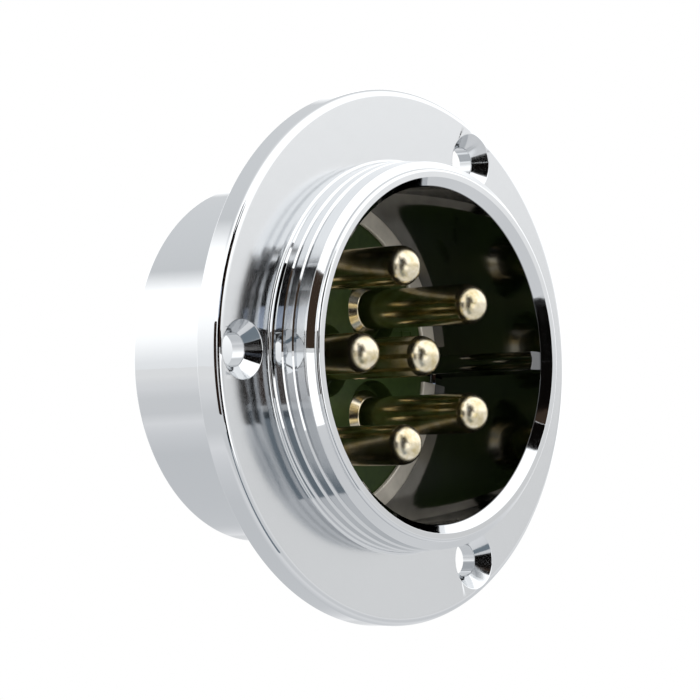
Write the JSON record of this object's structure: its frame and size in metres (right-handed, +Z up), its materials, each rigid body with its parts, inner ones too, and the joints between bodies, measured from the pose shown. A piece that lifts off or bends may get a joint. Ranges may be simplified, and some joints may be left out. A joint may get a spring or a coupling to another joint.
{
  "type": "circular connector receptacle",
  "caption": "Panel receptacle of a circular power connector: round flange with countersunk holes, threaded sleeve, keyed bore and pins in a green insulator.",
  "frame": {"origin": "on the connector's axis, in the rear face of the flange, the face that meets the panel", "axes": "-Y along the axis towards the mating side, +Y into the panel, +X towards the key ridge, +Z up"},
  "size_m": [0.072, 0.0398, 0.072],
  "materials": {
    "shell_chrome": "bright chrome plating on turned brass",
    "insulator_green": "dark green moulded thermoset, semi-gloss",
    "ring_nickel": "nickel plated spring steel, satin",
    "contact_plate": "silver plated brass, slightly tarnished"
  },
  "bodies": {
    "root": {"shell": "shell_chrome", "front_insulator": "insulator_green", "rear_insulator": "insulator_green", "retaining_ring": "ring_nickel", "contact_1": "contact_plate", "contact_2": "contact_plate", "contact_3": "contact_plate", "contact_4": "contact_plate", "contact_5": "contact_plate", "contact_centre": "contact_plate"}
  },
  "joints": []
}
